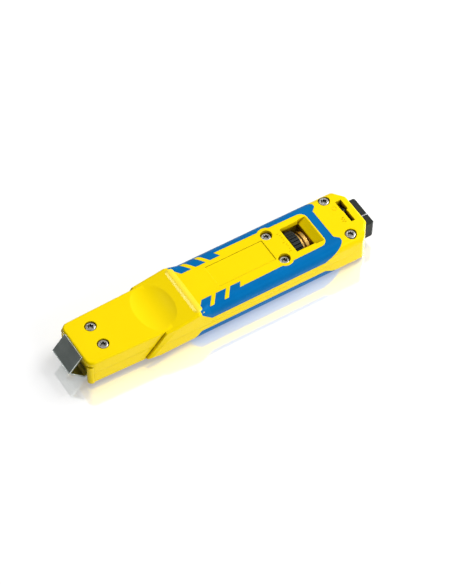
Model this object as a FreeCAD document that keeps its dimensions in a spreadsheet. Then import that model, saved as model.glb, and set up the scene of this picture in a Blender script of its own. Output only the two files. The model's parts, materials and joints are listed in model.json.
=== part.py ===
# Jacket stripping knife for round cable: two handle shells with soft grips, a sprung V hook on
# the nose, a swivel blade on a long shaft, a thumbwheel for cutting depth and a selector lever.
#
# Frame: +X runs from hook to tail, +Y across the handle, +Z up; millimetres.
# Every piece is drawn about the parting plane (z = 0) and its Placement lifts it by half_height,
# so the handle's underside rests on z = 0 of the finished object.
import FreeCAD, Part
import math
import os
import re
import Sketcher

DOC_NAME = "stripping_knife"
OUT_DIR = "parts"
AXIS_X = FreeCAD.Vector(1, 0, 0)
AXIS_Y = FreeCAD.Vector(0, 1, 0)

# alias, value in millimetres or degrees, meaning
DIMENSIONS = [
    # handle
    ("half_height", 9.95, "parting plane to the handle's top face"),
    ("half_width", 17.6, "centre plane to the handle's side"),
    ("tail_x", 83.1, "tail face of the shells"),
    ("tail_flat_half", 9.6, "half of the flat tail face, between the corner chamfers"),
    ("tail_chamfer_x", 76.6, "where the corner chamfers start"),
    ("tail_corner_r", 3.0, "rounding of the upright edges at the tail"),
    ("crest_x_top", -19.8, "crest where the top face starts to fall to the tongue"),
    ("crest_x_low", -28.3, "the same on the underside, further forward"),
    ("crest_fall", 0.167, "fall of the face in front of the crest, per millimetre"),
    ("corner_r", 4.7, "rounding of the long edges behind the crest"),
    ("crest_corner_r", 0.9, "rounding of the long edges at the crest"),
    ("corner_rear_top", 7.0, "where the rounding is full grown, behind the crest"),
    ("corner_front_top", 0.5, "where it starts to grow, in front of the crest"),
    ("corner_rear_low", 0.0, "the same on the underside"),
    ("corner_front_low", 15.0, "the same on the underside"),
    ("crest_r", 8.0, "rounding of the crest itself"),
    ("corner_bluntness", 1.08, "arc of the rounding over its width, so that it meets the faces"),
    ("edge_r", 1.2, "small edge rounding"),
    # tongue
    ("tongue_x", -80.85, "front of the tongue"),
    ("tongue_front_half", 14.6, "centre plane to the tongue's side, at its front"),
    ("tongue_growth", 0.03, "the tongue's side stands out more towards the rear, y per x"),
    ("tongue_half_height", 7.75, "parting plane to the tongue's top"),
    ("tongue_corner_r", 4.0, "plan rounding of the tongue's front corners"),
    ("tongue_root_x", -24.0, "where the tongue's block ends inside the handle"),
    ("nose_recess_x", -78.1, "face between the corner beads"),
    ("nose_lip_z", 4.5, "underside of the lip above the recess"),
    ("bead_x", -78.75, "axis of the corner beads"),
    ("bead_y", 12.5, "axis of the corner beads"),
    ("bead_r", 2.1, "radius of the corner beads"),
    # flare between tongue and handle
    ("flare_x", -44.4, "foot of the flare at the parting plane"),
    ("flare_slope", 0.858, "lean of the flare line, x per z"),
    ("flare_run", 4.2, "length of the ramp at the parting plane"),
    ("flare_run_slope", 0.37, "growth of the ramp, per z"),
    ("flare_groove", 0.3, "depth and lead of the groove at the foot"),
    ("flare_step", 1.3, "height of the steep face at the foot"),
    ("flare_step_x", 0.25, "lean of the steep face at the foot"),
    # thumb scoop
    ("scoop_x_top", -37.7, "centre of the scoop's arc"),
    ("scoop_x_low", -46.2, "centre of the scoop's arc, underside"),
    ("scoop_z", 39.7, "centre of the scoop's arc"),
    ("scoop_r", 33.0, "radius of the scoop's arc"),
    ("scoop_axis_z", 106.7, "axis that the arc is swept round"),
    ("scoop_top_z", 12.0, "upper limit of the scoop cutter"),
    # grips
    ("grip_depth", 1.5, "thickness of the grips"),
    ("grip_side_z", 3.3, "lower edge of the grip on the side"),
    ("grip_inner_y", 12.7, "inner edge behind the teeth"),
    ("grip_inner_rear_y", 11.9, "inner edge at the cross band"),
    ("tooth_inner_y", 9.65, "inner end of the teeth"),
    ("tooth_outer_y", 15.0, "outer end of the gaps between the teeth"),
    ("tooth_x", -14.1, "front of the first tooth"),
    ("tooth_long", 5.8, "length of a tooth"),
    ("tooth_pitch", 8.35, "tooth and gap"),
    ("tooth_lean", 4.0, "how far the teeth lean forward"),
    ("tooth_last_step", 2.0, "slant from the last tooth to the inner edge"),
    ("grip_tip_x", -18.2, "foremost point of the grip"),
    ("grip_side_x", -12.6, "front end of the lower edge on the side"),
    ("grip_tip_z", 8.6, "height of the foremost point"),
    ("grip_shift_low", -6.0, "the lower grip's front lies further forward by this"),
    ("band_x", 58.9, "front edge of the cross band"),
    ("band_long", 4.4, "length of the cross band"),
    ("band_corner_y", 9.7, "where the band's rear edge steps back"),
    ("band_corner_x", 65.7, "rear end of the grip on the top face"),
    ("grip_rear_side_x", 53.9, "rear end of the lower edge on the side"),
    ("band_inner_r", 4.0, "rounding of the panel's rear corners"),
    ("boss_bump_r", 4.9, "yellow rim round a middle screw"),
    # hollows
    ("tongue_hollow_half", 12.4, "half width of the hollow in the tongue"),
    ("tongue_hollow_z", 5.2, "height of the hollow in the tongue"),
    ("tongue_hollow_front", -75.5, "inside of the nose wall"),
    ("tongue_hollow_rear", -22.0, "rear end of the tongue's hollow"),
    ("hollow_half", 14.2, "half width of the hollows in the handle"),
    ("hollow_z", 7.2, "height of the hollows in the handle"),
    ("rib_front_x", -20.0, "rear face of the front rib"),
    ("rib_mid_x", 8.0, "front face of the middle rib"),
    ("rib_thick", 2.0, "thickness of a rib"),
    ("wheel_room_x", 42.4, "front of the wheel's room"),
    ("wheel_room_rear_x", 54.4, "rear of the wheel's room"),
    ("wheel_rib", 2.2, "thickness of the ribs beside the wheel"),
    ("rear_hollow_half", 9.2, "half width of the hollows behind the wheel"),
    ("lever_room_x", 75.2, "front of the lever's room"),
    ("lever_rib_x", 73.0, "front of the rib that carries the lever's hub"),
    ("lever_room_rear_x", 80.6, "inside of the tail wall"),
    ("tunnel_r", 4.55, "bore along the handle that holds bushes and journals"),
    # screws
    ("front_screw_x", -68.1, "front screws"),
    ("front_screw_y", 6.25, "front screws"),
    ("mid_screw_x", 34.9, "middle screws"),
    ("mid_screw_y", 8.7, "middle screws"),
    ("rear_screw_x", 71.8, "rear screws"),
    ("rear_screw_y", 12.5, "rear screws"),
    ("boss_r", 3.2, "boss of a front screw"),
    ("mid_boss_r", 4.2, "boss of a middle screw, round its deep counterbore"),
    ("head_r", 2.8, "screw head"),
    ("head_thick", 1.7, "screw head"),
    ("head_sink", 0.35, "front and rear heads below the face"),
    ("head_sink_mid", 1.4, "middle heads below the face"),
    ("counterbore_r", 3.12, "counterbore"),
    ("shank_r", 1.5, "screw shank"),
    ("shank_hole_r", 1.58, "screw hole"),
    ("shank_end", 5.0, "screw tip below the parting plane"),
    ("dome_r", 0.7, "rounding of a head's rim"),
    ("lobe_circle_r", 1.25, "centres of the recess's lobes"),
    ("lobe_r", 0.42, "recess's lobes"),
    ("recess_core_r", 1.2, "core of the recess"),
    ("recess_deep", 1.2, "depth of the recess"),
    # window, slot and label
    ("window_x", 42.6, "front edge of the wheel's window"),
    ("window_rear_x", 53.9, "rear edge of the wheel's window"),
    ("window_half", 8.4, "half width of the window"),
    ("ramp_rear_x", 58.2, "rear end of the ramp behind the window"),
    ("ramp_half", 9.0, "half width of the ramp"),
    ("ramp_deep", 2.6, "depth of the ramp at the window"),
    ("slot_x", 76.2, "wide part of the selector slot"),
    ("slot_rear_x", 79.5, "wide part of the selector slot"),
    ("slot_step_y", 2.0, "where the slot steps"),
    ("slot_far_y", 8.8, "far end of the slot"),
    ("slot_near_y", -6.1, "near end of the slot"),
    ("slot_narrow_x", 76.5, "narrow part of the selector slot"),
    ("slot_narrow_rear_x", 78.6, "narrow part of the selector slot"),
    ("label_x", -2.0, "front of the blank label field"),
    ("label_rear_x", 31.1, "rear of the blank label field"),
    ("label_half", 7.0, "half width of the blank label field"),
    ("label_deep", 0.25, "depth of the blank label field"),
    # hook
    ("strip_thick", 0.9, "steel strip"),
    ("strip_half", 8.35, "half width of the strip"),
    ("hook_apex_x", -89.02, "tip of the V before its bend is rounded"),
    ("hook_apex_z", -0.4, "tip of the V"),
    ("hook_bend_r", 1.1, "outside of the V's bend"),
    ("hook_bend_inner_r", 0.3, "inside of the V's bend"),
    ("hook_end_x", -81.45, "free end of the upper leg"),
    ("hook_end_z", 8.15, "free end of the upper leg"),
    ("strip_gap", 0.1, "strip to the tongue's underside"),
    ("strip_rear_x", -38.6, "rear end of the strip"),
    ("strip_tail_half", 6.6, "half width of the strip under the tongue"),
    ("hook_hole_r", 2.25, "hole in the lower leg"),
    ("hook_hole_x", -83.6, "hole in the lower leg"),
    ("hook_waist_x", -75.1, "where the strip starts to narrow"),
    ("hook_waist_long", 3.0, "length over which the strip narrows"),
    ("pad_tip_x", -50.4, "arrow tip of the thumb pad"),
    ("pad_wing_x", -43.6, "wings of the thumb pad"),
    ("pad_half", 7.0, "half width of the thumb pad"),
    ("pad_tip_half", 1.2, "blunt tip of the thumb pad"),
    ("pad_thick", 0.6, "plate of the thumb pad"),
    ("pad_rib", 0.4, "height of the thumb pad's ribs"),
    ("pad_rib_x", -46.6, "first rib"),
    ("pad_rib_pitch", 2.3, "rib spacing"),
    ("pad_rib_long", 0.9, "rib width"),
    ("pad_rib_half", 3.4, "half length of the first rib"),
    ("pad_rib_growth", 1.5, "each rib reaches further than the one before"),
    ("slider_x", -61.0, "front of the slider"),
    ("slider_long", 10.0, "slider"),
    ("slider_half", 2.5, "slider"),
    ("slider_top_z", -3.4, "slider"),
    ("slider_slot_half", 2.75, "slot for the slider"),
    ("hook_travel", 14.0, "travel of the hook"),
    ("slider_end_gap", 0.4, "slot beyond the slider at both ends"),
    ("rivet_r", 0.9, "rivets"),
    ("rivet_inset", 2.0, "first rivet from the slider's front"),
    ("rivet_pitch", 6.0, "rivets"),
    ("spring_r", 1.5, "outer radius of the hook's spring"),
    ("spring_z", -3.65, "axis of the hook's spring"),
    ("spring_wire", 0.4, "wire of the hook's spring"),
    ("spring_end_gap", 0.3, "spring to what it hooks on"),
    ("anchor_x", -30.0, "anchor pin of the hook's spring"),
    ("anchor_r", 0.9, "anchor pin of the hook's spring"),
    ("anchor_top_z", -2.2, "anchor pin of the hook's spring"),
    # blade and shaft
    ("shaft_r", 1.5, "blade shaft"),
    ("shaft_fit", 0.05, "radial running clearance"),
    ("shaft_front_x", -72.0, "front end of the shaft"),
    ("shaft_square_x", 68.0, "where the square end starts"),
    ("shaft_rear_x", 84.5, "rear end of the shaft"),
    ("shaft_square_half", 1.05, "half side of the square end"),
    ("holder_r", 2.5, "blade holder"),
    ("holder_x", -76.0, "front of the blade holder"),
    ("holder_rear_x", -68.5, "rear of the blade holder"),
    ("blade_tip_x", -78.4, "blade's tip"),
    ("blade_long", 6.0, "blade"),
    ("blade_half", 2.05, "half width of the blade"),
    ("blade_thick", 0.6, "blade"),
    ("blade_nose", 2.4, "length of the blade's slanted edge"),
    ("blade_tip_half", 0.8, "half width of the blade's tip"),
    ("grub_x", -74.4, "grub screw that holds the blade in its holder"),
    ("grub_r", 0.8, "grub screw"),
    ("bush_long", 2.0, "bushes in the ribs"),
    # depth drive
    ("wheel_r", 9.85, "thumbwheel"),
    ("wheel_x", 43.0, "front face of the thumbwheel"),
    ("wheel_thick", 5.2, "thumbwheel"),
    ("wheel_edge", 0.5, "chamfer of the thumbwheel's rim"),
    ("wheel_room_gap", 0.5, "room round the thumbwheel"),
    ("wheel_bore_r", 5.5, "bore of the thumbwheel"),
    ("wheel_teeth", 30, "grooves of the knurl"),
    ("knurl_deep", 0.8, "depth of the knurl"),
    ("knurl_half", 0.55, "half width of a groove"),
    ("nut_x", 40.4, "front end of the nut"),
    ("nut_rear_x", 56.6, "rear end of the nut"),
    ("nut_journal_r", 4.5, "journals of the nut"),
    ("nut_flange_x", 48.4, "collar of the nut"),
    ("nut_flange_thick", 3.8, "collar of the nut"),
    ("nut_flange_r", 8.0, "collar of the nut"),
    ("nut_groove_x", 49.4, "groove round the collar"),
    ("nut_groove_wide", 1.1, "groove round the collar"),
    ("nut_groove_deep", 1.2, "groove round the collar"),
    ("sleeve_r", 3.0, "threaded sleeve"),
    ("sleeve_x", 34.5, "front end of the sleeve"),
    ("sleeve_rear_x", 60.5, "rear end of the sleeve"),
    ("key_x", 35.2, "key of the sleeve"),
    ("key_long", 4.0, "key of the sleeve"),
    ("key_half", 0.8, "key of the sleeve"),
    ("key_top_z", 4.2, "key of the sleeve"),
    ("key_seat_z", 2.3, "key of the sleeve"),
    ("key_fit", 0.1, "clearance beside the key"),
    ("guide_x", 27.0, "sleeve guide"),
    ("guide_long", 12.6, "sleeve guide"),
    ("guide_half", 4.2, "sleeve guide"),
    ("guide_half_height", 6.9, "sleeve guide"),
    ("clip_r", 2.8, "shaft clips"),
    ("clip_thick", 0.6, "shaft clips"),
    ("clip_gap", 0.1, "clip to sleeve"),
    # selector
    ("lever_hub_x", 73.2, "hub of the lever"),
    ("lever_hub_rear_x", 80.4, "hub of the lever"),
    ("lever_hub_r", 4.5, "hub of the lever"),
    ("lever_x", 76.65, "disc of the lever"),
    ("lever_thick", 2.4, "disc of the lever"),
    ("lever_disc_r", 6.4, "disc of the lever"),
    ("lever_half", 2.75, "half width of the lever"),
    ("fin_x", 76.75, "fin of the lever"),
    ("fin_thick", 1.6, "fin of the lever"),
    ("fin_r", 9.5, "end of the fin"),
    ("lever_rest_deg", -30.0, "lean of the lever at rest, towards +Y"),
    ("square_fit", 0.08, "clearance of the hub on the square shaft"),
    ("detent_z", -6.9, "detent spring under the lever's hub"),
    ("detent_thick", 0.4, "detent spring"),
    ("detent_half", 6.0, "detent spring"),
    ("detent_crown_z", -4.85, "top of the detent spring's crown"),
    ("detent_crown_half", 2.5, "half width of the detent spring's crown"),
    ("detent_wide", 0.9, "detent spring, along the handle"),
    ("detent_gap", 0.3, "detent spring to the rib in front of it"),
    # tail
    ("shoe_half", 9.4, "half width of the tail shoe"),
    ("shoe_top_z", 5.0, "top of the tail shoe"),
    ("shoe_low_z", -4.5, "underside of the tail shoe"),
    ("shoe_x", 88.6, "outer face of the tail shoe"),
    ("shoe_chamfer", 1.3, "edges of the tail shoe"),
    ("shoe_corner_r", 1.6, "upright corners of the tail shoe"),
    ("neck_half", 7.5, "neck of the shoe in the tail wall"),
    ("neck_half_height", 3.6, "neck of the shoe in the tail wall"),
    ("lip_x", 81.3, "lip that holds the shoe"),
    ("lip_thick", 1.0, "lip that holds the shoe"),
    ("lip_step", 1.0, "lip stands out beyond the neck"),
    ("shoe_bore_r", 2.2, "room for the shaft's end"),
    ("plate_y", -2.6, "steel plate in the shoe"),
    ("plate_thick", 0.5, "steel plate in the shoe"),
    ("plate_x", 84.4, "steel plate in the shoe"),
    ("plate_proud", 0.1, "plate stands out of the shoe's top"),
    ("plate_low_z", -3.0, "steel plate in the shoe"),
    # cutters run this far past what they cut
    ("over", 3.0, "overrun of cutters"),
]

doc = FreeCAD.newDocument(DOC_NAME)
sheet = doc.addObject("Spreadsheet::Sheet", "dims")
for row, (alias, number, meaning) in enumerate(DIMENSIONS, start=1):
    sheet.set(f"A{row}", alias)
    sheet.set(f"B{row}", str(number))
    sheet.setAlias(f"B{row}", alias)
    sheet.set(f"C{row}", meaning)
doc.recompute()


# ---------------------------------------------------------------- helpers

def bound(text):
    """The text as an expression on the sheet: every alias gets the sheet's name."""
    return re.sub(r"\b[a-z][a-z0-9_]*\b(?!\()", lambda found: "dims." + found.group(0), str(text))


def value(text):
    """The number that the expression gives now."""
    return float(sheet.evalExpression(bound(text)))


def bind(obj, **sizes):
    """Tie each property of obj to an expression."""
    for prop, text in sizes.items():
        setattr(obj, prop, value(text))
        obj.setExpression(prop, bound(text))


PLACES = {}


def bind_place(obj, x="0", y="0", z="0", turn=None):
    """Put obj at a bound place, turned by an optional rotation."""
    PLACES[obj.Name] = (x, y, z, turn)
    spot = FreeCAD.Vector(value(x), value(y), value(z))
    obj.Placement = FreeCAD.Placement(spot, turn or FreeCAD.Rotation())
    for letter, text in zip("xyz", (x, y, z)):
        obj.setExpression(f"Placement.Base.{letter}", bound(text))


def body(name):
    return doc.addObject("PartDesign::Body", name)


def sketch(owner, name, role, offset=None):
    """A sketch on one of the body's own planes: XY_Plane, XZ_Plane or YZ_Plane."""
    made = owner.newObject("Sketcher::SketchObject", name)
    plane = next(item for item in owner.Origin.OriginFeatures if item.Role == role)
    made.AttachmentSupport = [(plane, "")]
    made.MapMode = "FlatFace"
    if offset is not None:
        made.setExpression("AttachmentOffset.Base.z", bound(offset))
    return made


def pin_point(target, edge, end, across, along):
    """Hold one end of a sketch edge at a bound place from the sketch's origin."""
    for kind, text in (("DistanceX", across), ("DistanceY", along)):
        number = target.addConstraint(Sketcher.Constraint(kind, -1, 1, edge, end, value(text)))
        target.setExpression(f"Constraints[{number}]", bound(text))


def outline(target, points):
    """A closed outline of straight edges through bound points."""
    spots = [FreeCAD.Vector(value(across), value(along), 0) for across, along in points]
    first = target.GeometryCount
    count = len(spots)
    for index in range(count):
        target.addGeometry(Part.LineSegment(spots[index], spots[(index + 1) % count]), False)
    for index in range(count):
        edge = first + index
        after = first + (index + 1) % count
        target.addConstraint(Sketcher.Constraint("Coincident", edge, 2, after, 1))
        pin_point(target, edge, 1, *points[index])
    return target


def rectangle(target, low_x, low_y, high_x, high_y):
    corners = [(low_x, low_y), (high_x, low_y), (high_x, high_y), (low_x, high_y)]
    return outline(target, corners)


def circle(target, across, along, radius):
    centre = FreeCAD.Vector(value(across), value(along), 0)
    edge = target.addGeometry(Part.Circle(centre, FreeCAD.Vector(0, 0, 1), value(radius)), False)
    pin_point(target, edge, 3, across, along)
    size = target.addConstraint(Sketcher.Constraint("Radius", edge, value(radius)))
    target.setExpression(f"Constraints[{size}]", bound(radius))
    return target


def pad(owner, drawn, length, symmetric=False, reverse=False):
    made = owner.newObject("PartDesign::Pad", drawn.Name + "_pad")
    made.Profile = drawn
    bind(made, Length=length)
    made.SideType = "Symmetric" if symmetric else "One side"
    made.Reversed = reverse
    owner.Tip = made
    doc.recompute()
    return made


def pocket(owner, drawn, length=None, reverse=False, symmetric=False):
    """Cut the drawn shape; no length cuts right through. Fails if nothing is removed."""
    before = owner.Shape.Volume
    made = owner.newObject("PartDesign::Pocket", drawn.Name + "_pocket")
    made.Profile = drawn
    if length is None:
        made.Type = "ThroughAll"
    else:
        bind(made, Length=length)
    made.SideType = "Symmetric" if symmetric else "One side"
    made.Reversed = reverse
    owner.Tip = made
    doc.recompute()
    if not owner.Shape.Volume < before - 1e-6:
        raise ValueError(drawn.Name + " cuts nothing")
    return made


def mirrored(owner, features, role="XZ_Plane"):
    made = owner.newObject("PartDesign::Mirrored", features[0].Name + "_mirror")
    made.Originals = features
    plane = next(item for item in owner.Origin.OriginFeatures if item.Role == role)
    made.MirrorPlane = (plane, [""])
    owner.Tip = made
    doc.recompute()
    return made


def edges_where(shape, test):
    """Names of the shape's edges whose middle point passes the test."""
    names = []
    for number, edge in enumerate(shape.Edges, start=1):
        middle = edge.valueAt((edge.FirstParameter + edge.LastParameter) / 2)
        if test(edge, middle):
            names.append(f"Edge{number}")
    if not names:
        raise ValueError("no edge to treat")
    return names


def fillet(owner, test, radius):
    base = owner.Tip
    names = edges_where(base.Shape, test)
    made = owner.newObject("PartDesign::Fillet", base.Name + "_fillet")
    made.Base = (base, names)
    bind(made, Radius=radius)
    owner.Tip = made
    doc.recompute()
    return made


def chamfer(owner, test, size):
    base = owner.Tip
    names = edges_where(base.Shape, test)
    made = owner.newObject("PartDesign::Chamfer", base.Name + "_chamfer")
    made.Base = (base, names)
    bind(made, Size=size)
    owner.Tip = made
    doc.recompute()
    return made


def box(name, low_x, low_y, low_z, high_x, high_y, high_z):
    made = doc.addObject("Part::Box", name)
    bind(made, Length=f"({high_x}) - ({low_x})", Width=f"({high_y}) - ({low_y})",
         Height=f"({high_z}) - ({low_z})")
    bind_place(made, low_x, low_y, low_z)
    return made


TURNS = {"x": FreeCAD.Rotation(AXIS_Y, 90), "y": FreeCAD.Rotation(AXIS_X, -90),
         "z": FreeCAD.Rotation()}


def cylinder(name, radius, length, x, y="0", z="0", along="x"):
    """A cylinder from a bound point along +X, +Y or +Z."""
    made = doc.addObject("Part::Cylinder", name)
    bind(made, Radius=radius, Height=length)
    bind_place(made, x, y, z, TURNS[along])
    return made


def cut(name, base, tool):
    made = doc.addObject("Part::Cut", name)
    made.Base = base
    made.Tool = tool
    return made


def fuse(name, shapes):
    made = doc.addObject("Part::MultiFuse", name)
    made.Shapes = shapes
    return made


def common(name, first, second):
    made = doc.addObject("Part::MultiCommon", name)
    made.Shapes = [first, second]
    return made


def group(name, shapes):
    """Separate identical solids kept as one node."""
    made = doc.addObject("Part::Compound", name)
    made.Links = shapes
    return made


def flipped(name, source):
    """The source mirrored in the parting plane."""
    made = doc.addObject("Part::Mirroring", name)
    made.Source = source
    made.Normal = FreeCAD.Vector(0, 0, 1)
    return made


NODES = []


def node(name, obj):
    """Name a finished sub-part and lift it to its place in the object."""
    obj.Label = name
    x, y, z, turn = PLACES.get(obj.Name, ("0", "0", "0", None))
    bind_place(obj, x, y, f"{z} + half_height", turn)
    NODES.append(obj)


# ---------------------------------------------------------------- outer form of a half shell

def corner_outline(target, radius, drop="0"):
    """Everything outside a rounded long edge whose face lies lower by drop, across the handle."""
    inner_y = f"half_width - {radius}"
    face_z = f"half_height - {drop}"
    inner_z = f"{face_z} - {radius}"
    points = [(inner_y, face_z), (inner_y, "half_height + over"),
              ("half_width + over", "half_height + over"), ("half_width + over", inner_z),
              ("half_width", inner_z)]
    spots = [FreeCAD.Vector(value(across), value(along), 0) for across, along in points]
    for index in range(4):
        target.addGeometry(Part.LineSegment(spots[index], spots[index + 1]), False)
        pin_point(target, index, 1, *points[index])
    pin_point(target, 3, 2, *points[4])
    for index in range(3):
        target.addConstraint(Sketcher.Constraint("Coincident", index, 2, index + 1, 1))
    bend = value(f"corner_bluntness * {radius}")
    middle = (spots[0] + spots[4]) / 2
    inward = FreeCAD.Vector(-1, -1, 0).normalize()
    half_chord = spots[0].distanceToPoint(spots[4]) / 2
    centre = middle + inward * math.sqrt(bend ** 2 - half_chord ** 2)
    ring = Part.Circle(centre, FreeCAD.Vector(0, 0, 1), bend)
    quarter = Part.ArcOfCircle(ring, ring.parameter(spots[4]), ring.parameter(spots[0]))
    arc = target.addGeometry(quarter, False)
    target.addConstraint(Sketcher.Constraint("Coincident", arc, 1, 3, 2))
    target.addConstraint(Sketcher.Constraint("Coincident", arc, 2, 0, 1))
    size = target.addConstraint(Sketcher.Constraint("Radius", arc, bend))
    target.setExpression(f"Constraints[{size}]", bound(f"corner_bluntness * {radius}"))
    return target


def tongue_side(x):
    """Half width of the tongue at a place along the handle."""
    return f"(tongue_front_half + tongue_growth * ({x} - tongue_x))"


def flare_outline(target, line_x, run):
    """Section of the cutter: a groove at the flare's foot, a steep face, then the ramp."""
    start_x = f"{line_x} - flare_groove"
    points = [(start_x, f"{tongue_side(start_x)} + 0.001"),
              (line_x, f"{tongue_side(line_x)} - flare_groove"),
              (f"{line_x} + flare_step_x", f"{tongue_side(line_x)} + flare_step"),
              (f"{line_x} + {run}", "half_width + 0.001"),
              (f"{line_x} + {run}", "half_width + over"),
              (start_x, "half_width + over")]
    return outline(target, points)


def half_form(half, lean):
    """Outer form of one half, drawn upwards; lean is +1 on top and -1 below."""
    crest = f"crest_x_{half}"
    form = body(f"form_{half}")
    tongue = sketch(form, f"tongue_{half}", "XY_Plane")
    root_half = tongue_side("tongue_root_x")
    outline(tongue, [("tongue_x", "-tongue_front_half"), ("tongue_root_x", f"-{root_half}"),
                     ("tongue_root_x", root_half), ("tongue_x", "tongue_front_half")])
    pad(form, tongue, "tongue_half_height")
    front = value("tongue_x")
    fillet(form, lambda edge, mid: abs(mid.x - front) < 0.01
           and abs(edge.tangentAt(edge.FirstParameter).z) > 0.9, "tongue_corner_r")
    top_z = value("tongue_half_height")
    root_x = value("tongue_root_x")
    fillet(form, lambda edge, mid: abs(mid.z - top_z) < 0.01 and mid.x < root_x - 1, "edge_r")

    slope = f"({lean} * flare_slope)"
    crest_z_at_flare = f"half_height - crest_fall * ({crest} - flare_x - {slope} * tongue_half_height)"
    foot_x = f"flare_x + {slope} * ({crest_z_at_flare})"
    side = sketch(form, f"side_{half}", "XZ_Plane")
    outline(side, [("flare_x", "0"), ("tail_x", "0"), ("tail_x", "half_height"),
                   (crest, "half_height"), (foot_x, crest_z_at_flare)])
    pad(form, side, "2 * half_width", symmetric=True)
    crest_x = value(crest)
    fillet(form, lambda edge, mid: abs(mid.x - crest_x) < 0.01 and abs(mid.y) < 0.01, "crest_r")

    tails = sketch(form, f"tail_corners_{half}", "XY_Plane")
    for sign in ("1", "-1"):
        outline(tails, [("tail_chamfer_x", f"{sign} * half_width"),
                        ("tail_x", f"{sign} * tail_flat_half"),
                        ("tail_x + over", f"{sign} * tail_flat_half"),
                        ("tail_x + over", f"{sign} * (half_width + over)"),
                        ("tail_chamfer_x", f"{sign} * (half_width + over)")])
    pocket(form, tails, reverse=True)
    chamfer_x = value("tail_chamfer_x")
    fillet(form, lambda edge, mid: mid.x > chamfer_x - 0.1
           and abs(edge.tangentAt(edge.FirstParameter).z) > 0.9, "tail_corner_r")
    rim = value("half_height")
    fillet(form, lambda edge, mid: abs(mid.z - rim) < 0.01 and mid.x > crest_x + 1, "edge_r")

    start = f"{crest} + corner_rear_{half}"
    drop = "0" if half == "top" else "crest_fall * corner_front_low"
    rounding = corner_outline(sketch(form, f"corner_{half}", "YZ_Plane", start), "corner_r")
    long_cut = pocket(form, rounding, reverse=True)
    near = corner_outline(sketch(form, f"corner_near_{half}", "YZ_Plane", start), "corner_r")
    far = corner_outline(sketch(form, f"corner_far_{half}", "YZ_Plane",
                                f"{crest} - corner_front_{half}"), "crest_corner_r", drop)
    growth = form.newObject("PartDesign::SubtractiveLoft", f"corner_growth_{half}")
    growth.Profile = near
    growth.Sections = [far]
    growth.Ruled = True
    form.Tip = growth
    doc.recompute()
    mirrored(form, [long_cut, growth])

    low = flare_outline(sketch(form, f"flare_low_{half}", "XY_Plane", "-0.001"),
                        "flare_x", "flare_run")
    high_x = f"(flare_x + {slope} * (half_height + 0.5))"
    high_run = f"(flare_run + {lean} * flare_run_slope * (half_height + 0.5))"
    high = flare_outline(sketch(form, f"flare_high_{half}", "XY_Plane", "half_height + 0.5"),
                         high_x, high_run)
    ramp = form.newObject("PartDesign::SubtractiveLoft", f"flare_{half}")
    ramp.Profile = low
    ramp.Sections = [high]
    ramp.Ruled = True
    form.Tip = ramp
    doc.recompute()
    mirrored(form, [ramp])

    scoop_x = f"scoop_x_{half}"
    dish = sketch(form, f"scoop_{half}", "XZ_Plane")
    spread = "sqrt(scoop_r * scoop_r - (scoop_z - scoop_top_z) * (scoop_z - scoop_top_z))"
    centre = FreeCAD.Vector(value(scoop_x), value("scoop_z"), 0)
    ring = Part.Circle(centre, FreeCAD.Vector(0, 0, 1), value("scoop_r"))
    ends = [FreeCAD.Vector(value(f"{scoop_x} {sign} {spread}"), value("scoop_top_z"), 0)
            for sign in "-+"]
    arc = Part.ArcOfCircle(ring, ring.parameter(ends[0]), ring.parameter(ends[1]))
    dish.addGeometry(arc, False)
    dish.addGeometry(Part.LineSegment(ends[1], ends[0]), False)
    dish.addConstraint(Sketcher.Constraint("Coincident", 0, 2, 1, 1))
    dish.addConstraint(Sketcher.Constraint("Coincident", 0, 1, 1, 2))
    pin_point(dish, 0, 3, scoop_x, "scoop_z")
    pin_point(dish, 1, 1, f"{scoop_x} + {spread}", "scoop_top_z")
    lift = dish.addConstraint(Sketcher.Constraint("DistanceY", -1, 1, 1, 2, ends[0].y))
    dish.setExpression(f"Constraints[{lift}]", bound("scoop_top_z"))
    axis_z = value("scoop_axis_z")
    hinge = Part.LineSegment(FreeCAD.Vector(0, axis_z, 0), FreeCAD.Vector(10, axis_z, 0))
    dish.addGeometry(hinge, True)
    pin_point(dish, 2, 1, "0", "scoop_axis_z")
    pin_point(dish, 2, 2, "10", "scoop_axis_z")
    groove = form.newObject("PartDesign::Groove", f"scoop_cut_{half}")
    groove.Profile = dish
    groove.ReferenceAxis = (dish, ["Axis0"])
    groove.Angle = 60
    groove.Midplane = True
    form.Tip = groove
    doc.recompute()

    # the nose: a recess between two corner beads, under a lip on the upper half only
    lip = "nose_lip_z" if half == "top" else "tongue_half_height + over"
    recess = sketch(form, f"nose_{half}", "XY_Plane")
    rectangle(recess, "tongue_x - over", "-(tongue_front_half + over)", "nose_recess_x",
              "tongue_front_half + over")
    pocket(form, recess, lip, reverse=True)
    beads = sketch(form, f"beads_{half}", "XY_Plane")
    for sign in ("1", "-1"):
        circle(beads, "bead_x", f"{sign} * bead_y", "bead_r")
    pad(form, beads, "nose_lip_z" if half == "top" else "tongue_half_height")
    return form


form_top = half_form("top", "1")
form_low = half_form("low", "-1")


# ---------------------------------------------------------------- hollows

def hollows(half):
    """All room inside one half, drawn upwards, with the screw bosses left standing."""
    room = body(f"hollows_{half}")
    tongue = sketch(room, f"room_tongue_{half}", "XY_Plane")
    rectangle(tongue, "tongue_hollow_front", "-tongue_hollow_half", "tongue_hollow_rear",
              "tongue_hollow_half")
    for sign in ("1", "-1"):
        circle(tongue, "front_screw_x", f"{sign} * front_screw_y", "boss_r")
    pad(room, tongue, "tongue_hollow_z")
    return room


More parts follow.
